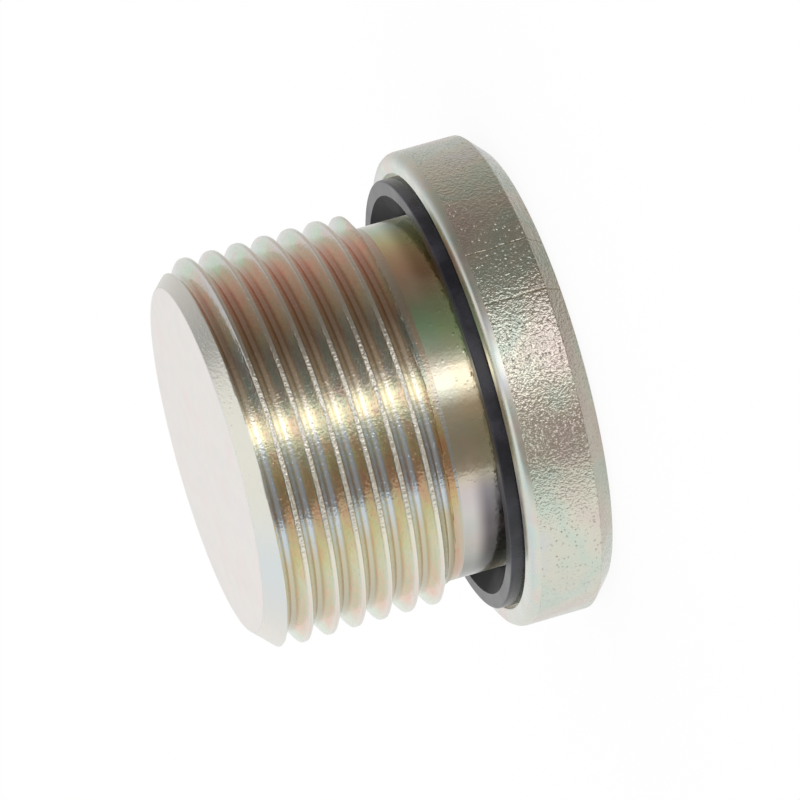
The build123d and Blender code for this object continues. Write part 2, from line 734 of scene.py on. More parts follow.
@dataclass(frozen=True)
class RubberFinish:
    """Black moulded rubber with a faint bloom.

    Attributes:
        name: the material's name.
        base: the rubber's colour.
        bloom: the colour where it has bloomed.
        roughness: its gloss where it is clean.
        specular_level: how strongly it mirrors.
        roughness_spread: how much rougher the bloomed places are.
        bloom_scale: patches of bloom to the metre.
        bloom_span: the part of a noise over which the colour turns to the bloom's.
        dull_span: the part of it over which the rubber goes dull.
        peel_scale: cells of the mould's peel to the metre.
        tooth_scale: cells of its finer tooth to the metre.
        tooth_share: the tooth's height beside the peel's.
        grain_depth: height of the grain, in metres.
    """

    name: str = "black_rubber"
    base: Colour = (0.012, 0.012, 0.018)
    bloom: Colour = (0.035, 0.035, 0.048)
    roughness: float = 0.20
    specular_level: float = 0.5
    roughness_spread: float = 0.10
    bloom_scale: float = 420.0
    bloom_span: Span = (0.4, 0.7)
    dull_span: Span = (0.35, 0.7)
    peel_scale: float = 2500.0
    tooth_scale: float = 8000.0
    tooth_share: float = 0.5
    grain_depth: float = 0.000003

    def make(self, effects: SurfaceEffects) -> bpy.types.Material:
        """Makes the material.

        Args:
            effects: the shared node groups.

        Returns:
            The material.
        """
        material = bpy.data.materials.new(self.name)
        material.use_nodes = True
        sheet = NodeSheet(material.node_tree)
        output = sheet.add("ShaderNodeOutputMaterial")
        rubber = sheet.add("ShaderNodeBsdfPrincipled")
        sheet.feed(output.inputs["Surface"], rubber.outputs[0])
        rubber.inputs["Specular IOR Level"].default_value = self.specular_level
        where = sheet.add("ShaderNodeTexCoord").outputs["Object"]
        bloomed = sheet.noise(where, self.bloom_scale, 4.0, 0.6)
        colour = sheet.mix(sheet.span(bloomed, *self.bloom_span), self.base, self.bloom)
        dullest = self.roughness + self.roughness_spread
        gloss = sheet.span(bloomed, *self.dull_span, self.roughness, dullest)
        grain = sheet.effect(effects.grain, {
            "Vector": where,
            "Peel Scale": self.peel_scale,
            "Tooth Scale": self.tooth_scale,
            "Tooth Share": self.tooth_share,
        })
        sheet.feed(rubber.inputs["Base Color"], colour)
        sheet.feed(rubber.inputs["Roughness"], gloss)
        sheet.feed(rubber.inputs["Normal"], sheet.bump(grain.outputs["Height"], self.grain_depth))
        return material


# Tints of the film and of painted shade, and where they lie round the axis, in degrees from +X
ROSE: Colour = (1.0, 0.83, 0.79)
STRAW: Colour = (1.0, 0.94, 0.78)
BROWN: Colour = (0.93, 0.86, 0.76)
SLATE: Colour = (0.74, 0.85, 0.97)
MINT: Colour = (0.84, 1.0, 0.88)
RUST: Colour = (1.0, 0.68, 0.46)
OCHRE: Colour = (1.0, 0.84, 0.52)
LAVENDER: Colour = (0.90, 0.90, 1.0)
CREAM: Colour = (1.0, 0.97, 0.88)

UPPER_FLANKS: RoundTints = (
    (0.0, CREAM), (40.0, MINT), (70.0, STRAW), (100.0, MINT), (116.0, (1.0, 0.76, 0.66)),
    (132.0, (1.0, 0.80, 0.70)), (146.0, (1.0, 0.88, 0.76)), (156.0, OCHRE), (163.0, RUST),
    (171.0, RUST), (178.0, OCHRE), (186.0, STRAW), (193.0, CREAM), (202.0, SLATE), (214.0, SLATE),
    (224.0, BROWN), (243.0, ROSE), (256.0, ROSE), (266.0, MINT), (290.0, LAVENDER), (320.0, STRAW),
    (360.0, CREAM),
)
LOWER_FLANKS: RoundTints = (
    (0.0, LAVENDER), (60.0, BROWN), (100.0, MINT), (126.0, (0.88, 1.0, 0.94)),
    (146.0, (0.88, 1.0, 0.95)), (158.0, (0.84, 0.92, 1.0)), (182.0, (0.82, 0.91, 1.0)),
    (194.0, CREAM), (208.0, BROWN), (228.0, BROWN), (250.0, ROSE), (275.0, MINT), (310.0, STRAW),
    (360.0, LAVENDER),
)
# Painted shade in the groove's root, with its tints round the axis
ROOT_PAINTED_SHADE: RoundTints = (
    (0.0, (0.90, 0.88, 0.84)), (80.0, (0.85, 0.80, 0.75)), (110.0, (0.72, 0.60, 0.52)),
    (130.0, (0.80, 0.66, 0.56)), (150.0, (0.86, 0.70, 0.58)), (158.0, (0.88, 0.88, 0.92)),
    (172.0, (0.92, 0.94, 1.0)), (182.0, (0.94, 0.97, 1.0)), (190.0, CREAM),
    (198.0, (0.90, 0.88, 0.84)), (210.0, (0.85, 0.75, 0.68)), (225.0, (0.76, 0.60, 0.53)),
    (245.0, (0.78, 0.57, 0.52)), (265.0, (0.90, 0.82, 0.78)), (360.0, (0.90, 0.88, 0.84)),
)
WORN_CRESTS: RoundTints = (
    (0.0, (0.25, 0.25, 0.25)), (140.0, (0.25, 0.25, 0.25)), (152.0, (0.5, 0.5, 0.5)),
    (160.0, (1.0, 1.0, 1.0)), (208.0, (1.0, 1.0, 1.0)), (222.0, (0.15, 0.15, 0.15)),
    (300.0, (0.15, 0.15, 0.15)), (360.0, (0.25, 0.25, 0.25)),
)
# Film tints of the neck, with painted shade in them: the greys from 80 to 136 degrees and the dark
# browns at 172 and 184 degrees
NECK_FILM_AND_PAINTED_SHADE: RoundTints = (
    (0.0, STRAW), (50.0, MINT), (80.0, (0.70, 0.70, 0.66)), (105.0, (0.40, 0.40, 0.41)),
    (120.0, (0.50, 0.50, 0.51)), (136.0, (0.80, 0.76, 0.80)), (146.0, LAVENDER), (158.0, LAVENDER),
    (166.0, BROWN), (172.0, (0.76, 0.70, 0.60)), (184.0, (0.78, 0.72, 0.62)), (191.0, CREAM),
    (197.0, CREAM), (203.0, MINT), (211.0, (0.66, 1.0, 0.70)), (222.0, (0.76, 1.0, 0.74)),
    (230.0, (0.98, 0.84, 0.68)), (238.0, (1.0, 0.70, 0.54)), (249.0, (1.0, 0.93, 0.62)),
    (262.0, MINT), (300.0, ROSE), (330.0, BROWN), (360.0, STRAW),
)
# Painted dark reflection of the seal on the neck, each shade at its degrees from +X, cream in between
NECK_PAINTED_SEAL_REFLECTION: RoundTints = (
    (0.0, (0.6, 0.6, 0.6)), (110.0, (0.14, 0.14, 0.15)), (135.0, (0.20, 0.20, 0.22)),
    (158.0, (0.45, 0.45, 0.48)), (168.0, CREAM), (222.0, CREAM), (236.0, (0.60, 0.60, 0.52)),
    (250.0, (0.42, 0.43, 0.35)), (275.0, (0.25, 0.27, 0.24)), (360.0, (0.6, 0.6, 0.6)),
)

FINISHES: dict[Region, PlatedFinish] = {
    Region.THREAD: ThreadFinish(
        "plated_thread", base=(0.95, 0.93, 0.89), roughness=0.09, roughness_spread=0.07,
        film_scale=700.0, film_strength=0.55, film_stretch=3.0, peel_scale=5200.0,
        nodule_scale=5200.0, nodule_share=0.9, grain_depth=0.000012, round_film_and_painted_shade=UPPER_FLANKS,
        lower_film=LOWER_FLANKS, root_painted_shade=ROOT_PAINTED_SHADE, worn_round=WORN_CRESTS,
    ),
    # The neck's tints hold painted shade, and a painted dark reflection of the seal darkens it near the
    # seal
    Region.NECK: NeckFinish(
        "plated_neck", base=(0.80, 0.78, 0.73), roughness=0.11, film_scale=190.0,
        film_strength=0.35, grain_depth=0.000006, nodule_scale=2600.0, nodule_share=1.2,
        round_film_and_painted_shade=NECK_FILM_AND_PAINTED_SHADE, round_drift=0.07, painted_seal_reflection=NECK_PAINTED_SEAL_REFLECTION,
    ),
    Region.FLANGE: PlatedFinish(
        "plated_flange", base=(0.86, 0.85, 0.81), roughness=0.26, grain_depth=0.000003,
    ),
    Region.HEAD_SIDE: HeadSideFinish(
        "plated_head_side", base=(0.82, 0.82, 0.77), roughness=0.12, film_scale=170.0,
        film_strength=0.52, peel_scale=5600.0, tooth_scale=11000.0, tooth_share=0.4,
        nodule_scale=4200.0, nodule_share=0.9, grain_depth=0.000052,
    ),
    Region.END_FACE: PlatedFinish(
        "plated_end_face", base=(0.95, 0.89, 0.85), roughness=0.30, film_strength=0.12,
        grain_depth=0.000002,
    ),
    Region.SOCKET: PlatedFinish(
        "plated_socket", base=(0.62, 0.61, 0.57), roughness=0.28, grain_depth=0.000004,
    ),
}

BAND_RUBBER = RubberFinish()
BEVEL_RUBBER = RubberFinish(
    "dull_rubber", bloom=(0.022, 0.018, 0.022), roughness=0.5, specular_level=0.16,
)


# ---- Mesh helpers ---------------------------------------------------------------------------------


@dataclass(frozen=True)
class Corner:
    """A corner of a turned outline.

    Attributes:
        radius: its distance from the axis.
        height: its height.
        round: radius of the rounding on it.
    """

    radius: float
    height: float
    round: float = 0.0


def rounded_outline(corners: list[Corner], steps: int = 4, guard: float = 0.02) -> list[Point]:
    """Rounds an open outline's corners, with a guard point on each side so that flats stay flat.

    Args:
        corners: the outline's corners, the first and last of them plain.
        steps: the pieces of each rounding.
        guard: the distance of a guard point from the rounding.

    Returns:
        The outline's points, as radius and height.
    """
    points: list[Point] = []
    for index, corner in enumerate(corners):
        here = Vector((corner.radius, corner.height))
        if corner.round <= 0:
            points.append(tuple(here))
            continue
        before = Vector((corners[index - 1].radius, corners[index - 1].height)) - here
        after = Vector((corners[index + 1].radius, corners[index + 1].height)) - here
        before.normalize()
        after.normalize()
        half = before.angle(after) / 2
        reach = corner.round / math.tan(half)
        centre = here + (before + after).normalized() * (corner.round / math.sin(half))
        first = here + before * reach - centre
        turn = first.angle_signed(here + after * reach - centre)
        points.append(tuple(here + before * (reach + guard)))
        for step in range(steps + 1):
            angle = -turn * step / steps
            points.append((centre.x + first.x * math.cos(angle) - first.y * math.sin(angle),
                           centre.y + first.x * math.sin(angle) + first.y * math.cos(angle)))
        points.append(tuple(here + after * (reach + guard)))
    return points


def add_rings(mesh: bmesh.types.BMesh, rings: list[np.ndarray]) -> None:
    """Joins rings of points to a skin.

    Args:
        mesh: the mesh that takes the skin.
        rings: each ring's points, or a single point for a pole.
    """
    rows = [[mesh.verts.new(Vector(point) * MM) for point in ring] for ring in rings]
    for low, high in zip(rows, rows[1:]):
        count = max(len(low), len(high))
        for index in range(count):
            following = (index + 1) % count
            if len(low) == 1:
                mesh.faces.new((low[0], high[following], high[index]))
            elif len(high) == 1:
                mesh.faces.new((low[index], low[following], high[0]))
            else:
                mesh.faces.new((low[index], low[following], high[following], high[index]))


def circle(radius: float, height: float, columns: int) -> np.ndarray:
    """A ring of points round the axis, or one point where the radius is nothing.

    Args:
        radius: the ring's radius.
        height: its height.
        columns: its points.

    Returns:
        The points.
    """
    if radius <= 0:
        return np.array([(0.0, 0.0, height)])
    turn = np.arange(columns) * FULL_TURN / columns
    return np.stack([radius * np.cos(turn), radius * np.sin(turn), np.full(columns, height)], axis=1)


def finish_mesh(mesh: bmesh.types.BMesh, name: str) -> bpy.types.Object:
    """Closes a mesh's seams, turns its faces outwards and makes it an object.

    Args:
        mesh: the mesh, which is freed.
        name: the object's name.

    Returns:
        The object, at the origin.
    """
    bmesh.ops.remove_doubles(mesh, verts=mesh.verts, dist=MERGE_DISTANCE)
    bmesh.ops.dissolve_degenerate(mesh, edges=mesh.edges, dist=MERGE_DISTANCE / 10)
    bmesh.ops.recalc_face_normals(mesh, faces=mesh.faces)
    open_edges = sum(1 for edge in mesh.edges if len(edge.link_faces) != 2)
    for face in mesh.faces:
        face.smooth = True
    for edge in mesh.edges:
        if len(edge.link_faces) == 2 and edge.calc_face_angle(0.0) > SHARP_ANGLE:
            edge.smooth = False
    data = bpy.data.meshes.new(name)
    mesh.to_mesh(data)
    mesh.free()
    piece = bpy.data.objects.new(name, data)
    bpy.context.scene.collection.objects.link(piece)
    log.info("%s: %d faces, %d open edges", name, len(data.polygons), open_edges)
    return piece


# ---- Turned body ----------------------------------------------------------------------------------


@dataclass
class ScrewThread:
    """The threaded shank's skin, from the neck to the free end's chamfer, made by Geometry Nodes.

    Attributes:
        pitch: from crest to crest.
        flank_angle: between two flanks, in degrees.
        crest_radius: radius of the crests.
        root_radius: radius of the roots.
        root_half_width: half the width of a root.
        crest_softness: how far a crest's edges are rounded.
        root_softness: how far a root's edges are rounded.
        foot_softness: how far the run-out's foot is rounded.
        run_out_softness: how far the crests are rounded where they run out.
        lead_in_softness: how far the crests are rounded at the lead-in chamfer.
        shoulder_foot: height of the foot of the run-out.
        neck_radius: radius of the neck.
        neck_top: height from which the groove is counted.
        run_out_angle: of the run-out, to the axis, in degrees.
        lead_in_radius: radius of the free end face.
        end_height: height of that face.
        skin_bottom: height of the skin's lower edge.
        skin_top: height of its upper edge.
        rows_per_turn: rows of faces to a turn.
        turns_below: turns that are trimmed away below the neck's top.
        columns: faces round the axis.
    """

    pitch: float = 1.5
    flank_angle: float = 60.0
    crest_radius: float = 10.95
    root_radius: float = 10.05
    root_half_width: float = 0.1354
    crest_softness: float = 0.06
    root_softness: float = 0.18
    foot_softness: float = 0.10
    run_out_softness: float = 0.10
    lead_in_softness: float = 0.05
    shoulder_foot: float = 8.15
    neck_radius: float = 9.95
    neck_top: float = 8.0
    run_out_angle: float = 76.0
    lead_in_radius: float = 9.725
    end_height: float = 19.0
    skin_bottom: float = 7.6
    skin_top: float = 18.92
    rows_per_turn: int = 32
    turns_below: int = 2
    columns: int = 264

    @property
    def groove_start(self) -> float:
        """Height of the groove's middle on the +X side, in its first turn."""
        return self.neck_top - self.root_half_width

    @property
    def turns(self) -> int:
        """Whole turns of the skin before it is trimmed at both ends."""
        return math.ceil((self.end_height - self.groove_start) / self.pitch) + self.turns_below

    def inputs(self) -> dict[str, float]:
        """The tree's named inputs, lengths in metres."""
        return {
            "Columns": self.columns,
            "Rows": self.turns * self.rows_per_turn,
            "Turns": self.turns,
            "Pitch": self.pitch * MM,
            "Start Height": (self.groove_start - self.turns_below * self.pitch) * MM,
            "Crest Radius": self.crest_radius * MM,
            "Root Radius": self.root_radius * MM,
            "Root Half Width": self.root_half_width * MM,
            "Flank Slope": math.tan(math.radians(self.flank_angle / 2)),
            "Crest Softness": self.crest_softness * MM,
            "Root Softness": self.root_softness * MM,
            "Neck Radius": self.neck_radius * MM,
            "Shoulder Foot": self.shoulder_foot * MM,
            "Run-out Slope": math.tan(math.radians(self.run_out_angle)),
            "Foot Softness": self.foot_softness * MM,
            "Run-out Softness": self.run_out_softness * MM,
            "Lead-in Softness": self.lead_in_softness * MM,
            "Lead-in Radius": self.lead_in_radius * MM,
            "End Height": self.end_height * MM,
            "Skin Bottom": self.skin_bottom * MM,
            "Skin Top": self.skin_top * MM,
        }

    def tree(self) -> bpy.types.NodeTree:
        """Builds the tree: a grid rolled up along the helix, pushed out to the thread's form.

        Returns:
            The Geometry Nodes tree.
        """
        tree = bpy.data.node_groups.new("screw_thread", "GeometryNodeTree")
        sheet = NodeSheet(tree)
        for name in self.inputs():
            kind = "NodeSocketInt" if name in ("Columns", "Rows", "Turns") else "NodeSocketFloat"
            tree.interface.new_socket(name, in_out="INPUT", socket_type=kind)
        tree.interface.new_socket("Material", in_out="INPUT", socket_type="NodeSocketMaterial")
        tree.interface.new_socket("Geometry", in_out="OUTPUT", socket_type="NodeSocketGeometry")
        size = sheet.add("NodeGroupInput").outputs

        grid = sheet.add("GeometryNodeMeshGrid")
        sheet.feed(grid.inputs["Size X"], 1.0)
        sheet.feed(grid.inputs["Size Y"], 1.0)
        sheet.feed(grid.inputs["Vertices X"], sheet.math("ADD", size["Columns"], 1.0))
        sheet.feed(grid.inputs["Vertices Y"], sheet.math("ADD", size["Rows"], 1.0))
        x, y, _ = sheet.split(sheet.add("GeometryNodeInputPosition").outputs[0])
        around = sheet.math("ADD", x, 0.5)
        along = sheet.math("MULTIPLY", sheet.math("ADD", y, 0.5), size["Turns"])

        rise = sheet.math("MULTIPLY", sheet.math("ADD", along, around), size["Pitch"])
        height = sheet.math("ADD", rise, size["Start Height"])
        height = sheet.math("MAXIMUM", height, size["Skin Bottom"])
        height = sheet.math("MINIMUM", height, size["Skin Top"])

        from_groove = sheet.math("MULTIPLY", sheet.math("PINGPONG", along, 0.5), size["Pitch"])
        up_flank = sheet.math("SUBTRACT", from_groove, size["Root Half Width"])
        out = sheet.math("DIVIDE", up_flank, size["Flank Slope"])
        flank = sheet.math("ADD", size["Root Radius"], out)
        ridge = sheet.math("SMOOTH_MAX", flank, size["Root Radius"], size["Root Softness"])
        ridge = sheet.math("SMOOTH_MIN", ridge, size["Crest Radius"], size["Crest Softness"])

        above_neck = sheet.math("SUBTRACT", height, size["Shoulder Foot"])
        out = sheet.math("MULTIPLY", above_neck, size["Run-out Slope"])
        cone = sheet.math("ADD", size["Neck Radius"], out)
        cone = sheet.math("SMOOTH_MAX", cone, size["Neck Radius"], size["Foot Softness"])
        below_end = sheet.math("SUBTRACT", size["End Height"], height)
        chamfer = sheet.math("ADD", size["Lead-in Radius"], below_end)
        radius = sheet.math("SMOOTH_MIN", ridge, cone, size["Run-out Softness"])
        radius = sheet.math("SMOOTH_MIN", radius, chamfer, size["Lead-in Softness"])

        angle = sheet.math("MULTIPLY", around, FULL_TURN)
        place = sheet.place(sheet.math("MULTIPLY", radius, sheet.math("COSINE", angle)),
                            sheet.math("MULTIPLY", radius, sheet.math("SINE", angle)), height)
        moved = sheet.add("GeometryNodeSetPosition")
        sheet.feed(moved.inputs["Geometry"], grid.outputs["Mesh"])
        sheet.feed(moved.inputs["Position"], place)
        merged = sheet.add("GeometryNodeMergeByDistance")
        sheet.feed(merged.inputs["Geometry"], moved.outputs[0])
        sheet.feed(merged.inputs["Distance"], MERGE_DISTANCE)
        real = sheet.add("GeometryNodeRealizeInstances")
        sheet.feed(real.inputs[0], merged.outputs[0])
        dressed = sheet.add("GeometryNodeSetMaterial")
        sheet.feed(dressed.inputs["Geometry"], real.outputs[0])
        sheet.feed(dressed.inputs["Material"], size["Material"])
        sheet.feed(sheet.add("NodeGroupOutput").inputs[0], dressed.outputs[0])
        return tree

    def build(self, material: bpy.types.Material) -> bpy.types.Mesh:
        """Makes the skin as a plain mesh.

        Args:
            material: the finish that the tree sets.

        Returns:
            The mesh, open at both ends.
        """
        holder = bpy.data.objects.new("thread_skin", bpy.data.meshes.new("thread_skin"))
        bpy.context.scene.collection.objects.link(holder)
        modifier = holder.modifiers.new("screw_thread", "NODES")
        modifier.node_group = self.tree()
        values = self.inputs() | {"Material": material}
        for item in modifier.node_group.interface.items_tree:
            if item.in_out == "INPUT":
                modifier[item.identifier] = values[item.name]
        evaluated = holder.evaluated_get(bpy.context.evaluated_depsgraph_get())
        skin = bpy.data.meshes.new_from_object(evaluated)
        bpy.data.objects.remove(holder)
        log.info("thread skin: %d faces", len(skin.polygons))
        return skin


@dataclass
class TurnedBody:
    """The plug itself: head, recess, neck, threaded shank and hexagon socket, one closed skin.

    Attributes:
        head_radius: radius of the head.
        head_height: from the head face to the sealing face.
        bevel_width: of the bevel round the head face, across the radius.
        bevel_height: its height.
        bevel_round: rounding of its edges.
        rim_round: rounding of the head's edge at the sealing face.
        recess_radius: radius of the recess for the ring.
        recess_floor: height of its floor.
        recess_round: rounding of its edges.
        end_round: rounding of the free end face's edge.
        end_flat: the plain part of that face beside the rounding.
        end_guard: distance of a guard point from the rounding.
        end_shares: radii of the rings inside it, as shares of its own.
        socket_across_flats: size of the hexagon.
        socket_depth: its depth.
        mouth_radius: radius of the countersink.
        mouth_half_angle: of the countersink, to the axis, in degrees.
        mouth_guard: distance of a guard ring from its edge at the flats.
        mouth_lip: how far a guard ring lies inside its outer edge, across and along.
        pilot_radius: radius of the drill point.
        pilot_half_angle: of the drill point, to the axis, in degrees.
        edge_reach: how far past an edge a finish may reach, across the radius.
        neck_reach: how far past the neck's radius its finish may reach.
        end_depth: how far below the free end its finish may reach.
        thread: the threaded shank.
    """

    head_radius: float = 13.45
    head_height: float = 5.0
    bevel_width: float = 1.05
    bevel_height: float = 1.0
    bevel_round: float = 0.16
    rim_round: float = 0.55
    recess_radius: float = 12.35
    recess_floor: float = 4.2
    recess_round: float = 0.06
    end_round: float = 0.08
    end_flat: float = 1.0
    end_guard: float = 0.01
    end_shares: tuple[float, ...] = (0.75, 0.5, 0.25, 0.0)
    socket_across_flats: float = 10.0
    socket_depth: float = 7.0
    mouth_radius: float = 6.0
    mouth_half_angle: float = 60.0
    mouth_guard: float = 0.05
    mouth_lip: Point = (0.005, 0.003)
    pilot_radius: float = 4.7
    pilot_half_angle: float = 59.0
    edge_reach: float = 0.02
    neck_reach: float = 0.05
    end_depth: float = 0.03
    thread: ScrewThread = field(default_factory=ScrewThread)

    @property
    def pilot_top(self) -> float:
        """Height of the drill point's tip."""
        return self.socket_depth + self.pilot_radius / math.tan(math.radians(self.pilot_half_angle))

    def head_rings(self) -> list[np.ndarray]:
        """The skin from the head face's inner edge, round the head and recess, up the neck."""
        neck = self.thread.neck_radius
        outline = rounded_outline([
            Corner(self.mouth_radius, 0.0),
            Corner(self.head_radius - self.bevel_width, 0.0, self.bevel_round),
            Corner(self.head_radius, self.bevel_height, self.bevel_round),
            Corner(self.head_radius, self.head_height, self.rim_round),
            Corner(self.recess_radius, self.head_height, self.recess_round),
            Corner(self.recess_radius, self.recess_floor, self.recess_round),
            Corner(neck, self.recess_floor, self.recess_round),
            Corner(neck, self.thread.skin_bottom),
        ])
        return [circle(radius, height, self.thread.columns) for radius, height in outline]

    def end_rings(self) -> list[np.ndarray]:
        """The skin from the top of the lead-in chamfer to the middle of the free end face."""
        thread = self.thread
        start = thread.lead_in_radius + thread.end_height - thread.skin_top
        outline = rounded_outline([
            Corner(start, thread.skin_top),
            Corner(thread.lead_in_radius, thread.end_height, self.end_round),
            Corner(thread.lead_in_radius - self.end_flat, thread.end_height),
        ], guard=self.end_guard)
        outline += [(thread.lead_in_radius * share, thread.end_height) for share in self.end_shares]
        return [circle(radius, height, thread.columns) for radius, height in outline]

    def socket_rings(self) -> list[np.ndarray]:
        """The skin from the drill point, down the hexagon and out over the countersink."""
        columns = self.thread.columns
        turn = np.arange(columns) * FULL_TURN / columns
        from_flat = np.mod(turn, math.pi / 3) - math.pi / 6
        flats = self.socket_across_flats / 2 / np.cos(from_flat)
        mouth = (self.mouth_radius - flats) / math.tan(math.radians(self.mouth_half_angle))

        def hexagon(height: np.ndarray | float) -> np.ndarray:
            """A ring on the flats, at one height or at a height for each column."""
            heights = np.broadcast_to(height, columns)
            return np.stack([flats * np.cos(turn), flats * np.sin(turn), heights], axis=1)

        across, along = self.mouth_lip
        return [
            circle(0.0, self.pilot_top, columns),
            circle(self.pilot_radius, self.socket_depth, columns),
            hexagon(self.socket_depth),
            hexagon(self.socket_depth / 2),
            hexagon(mouth + self.mouth_guard),
            hexagon(mouth),
            circle(self.mouth_radius - across, along, columns),
            circle(self.mouth_radius, 0.0, columns),
        ]

    def region(self, radius: float, height: float) -> Region:
        """Says which finish a face has.

        Args:
            radius: the face's distance from the axis.
            height: its height.

        Returns:
            The region.
        """
        thread = self.thread
        if radius < self.mouth_radius and height <= self.pilot_top:
            return Region.SOCKET
        if height > thread.end_height - self.end_depth:
            return Region.END_FACE
        if height > thread.skin_bottom:
            return Region.THREAD
        if radius < thread.neck_radius + self.neck_reach and height > self.head_height / 2:
            return Region.NECK
        bevel_edge = self.head_radius - self.bevel_width + self.edge_reach
        if radius > bevel_edge and height < self.head_height - self.rim_round:
            return Region.HEAD_SIDE
        return Region.FLANGE

    def build(self, skin_material: bpy.types.Material) -> bpy.types.Object:
        """Makes the closed mesh.

        Args:
            skin_material: the thread's finish, which its tree sets.

        Returns:
            The object.
        """
        mesh = bmesh.new()
        mesh.from_mesh(self.thread.build(skin_material))
        add_rings(mesh, self.socket_rings() + self.head_rings()[1:])
        add_rings(mesh, self.end_rings())
        piece = finish_mesh(mesh, "turned_body")
        for face in piece.data.polygons:
            middle = face.center / MM
            face.material_index = self.region(math.hypot(middle.x, middle.y), middle.z).value
        return piece

    def dress(self, piece: bpy.types.Object, materials: dict[Region, bpy.types.Material]) -> None:
        """Gives the piece its finishes and seats it on the frame.

        Args:
            piece: the object that build made.
            materials: a material for each region.
        """
        chosen = [face.material_index for face in piece.data.polygons]
        piece.data.materials.clear()
        for region in Region:
            piece.data.materials.append(materials[region])
        piece.data.polygons.foreach_set("material_index", chosen)
        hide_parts("plug_body")
        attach(piece, ROOT_BODY)


# ---- Sealing ring ---------------------------------------------------------------------------------


@dataclass
class SealingRing:
    """The rubber ring in the recess: a flat band at its edge and a bevel down to a thin lip.

    Attributes:
        bore_radius: radius of its bore.
        outer_radius: radius of its outer side.
        floor: height of the recess floor that it lies on.
        top: height of the band.
        band_width: width of the band, across the radius.
        lip_thickness: its height at the bore.
        edge_round: rounding of the band's outer edge.
        soft_round: rounding of its other edges.
        bevel_reach: how far above the floor the bevel's finish begins.
        columns: faces round the axis.
    """

    bore_radius: float = 10.0
    outer_radius: float = 12.15
    floor: float = 4.2
    top: float = 5.7
    band_width: float = 0.85
    lip_thickness: float = 0.7
    edge_round: float = 0.12
    soft_round: float = 0.06
    bevel_reach: float = 0.1
    columns: int = 240

    def build(self) -> bpy.types.Object:
        """Makes the ring's mesh.

        Returns:
            The object.
        """
        middle = (self.bore_radius + self.outer_radius) / 2
        outline = rounded_outline([
            Corner(middle, self.floor),
            Corner(self.outer_radius, self.floor, self.soft_round),
            Corner(self.outer_radius, self.top, self.edge_round),
            Corner(self.outer_radius - self.band_width, self.top, self.soft_round),
            Corner(self.bore_radius, self.floor + self.lip_thickness, self.soft_round),
            Corner(self.bore_radius, self.floor, self.soft_round),
            Corner(middle, self.floor),
        ])
        mesh = bmesh.new()
        add_rings(mesh, [circle(radius, height, self.columns) for radius, height in outline])
        piece = finish_mesh(mesh, "rubber_ring")
        bevel_edge = self.outer_radius - self.band_width
        for face in piece.data.polygons:
            middle = face.center / MM
            inside = math.hypot(middle.x, middle.y) < bevel_edge
            face.material_index = int(inside and middle.z > self.floor + self.bevel_reach)
        return piece

    def dress(self, piece: bpy.types.Object, glossy: bpy.types.Material,
              dull: bpy.types.Material) -> None:
        """Gives the ring its finishes and seats it on the frame. The metal doesn't mirror it.

        Args:
            piece: the object that build made.
            glossy: the rubber of the band and the outer side.
            dull: the rubber of the bevel.
        """
        chosen = [face.material_index for face in piece.data.polygons]
        for material in (glossy, dull):
            piece.data.materials.append(material)
        piece.data.polygons.foreach_set("material_index", chosen)
        piece.visible_glossy = False
        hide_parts("sealing_ring")
        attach(piece, ROOT_BODY)


# ---- Studio ---------------------------------------------------------------------------------------


@dataclass(frozen=True)
class StudioBand:
    """A stop of the studio's walls, as a lathe-turned surface mirrors them.

    Attributes:
        angle: degrees round from the side that faces the camera, of the metal that mirrors it.
        level: how bright it is.
        tint: its colour.
    """

    angle: float
    level: float
    tint: Colour = WHITE

    @property
    def stop(self) -> tuple[float, Colour]:
        """Its place on the walls, from 0 to 1, and its colour."""
        return (self.angle + 90) / 180, tuple(self.level * part for part in self.tint)


WARM: Colour = (1.0, 0.92, 0.82)
COOL: Colour = (0.98, 1.0, 0.97)

STUDIO_BANDS: list[StudioBand] = [
    StudioBand(-90.0, 0.86),
    StudioBand(-70.0, 0.78),
    StudioBand(-42.0, 0.84, COOL),
    StudioBand(-28.0, 0.84, COOL),
    StudioBand(-26.2, 0.30, WARM),
    StudioBand(-18.0, 0.28, WARM),
    StudioBand(-11.0, 0.34, WARM),
    StudioBand(-5.0, 0.46, WARM),
    StudioBand(-1.0, 0.80),
    StudioBand(1.5, 1.55),
    StudioBand(6.5, 1.55),
    StudioBand(8.5, 0.80),
    StudioBand(13.0, 0.36, WARM),
    StudioBand(20.0, 0.26, WARM),
    StudioBand(29.0, 0.16, WARM),
    StudioBand(40.0, 0.21, WARM),
    StudioBand(52.0, 0.32, WARM),
    StudioBand(62.0, 0.47, WARM),
    StudioBand(76.0, 0.60),
    StudioBand(90.0, 0.86),
]


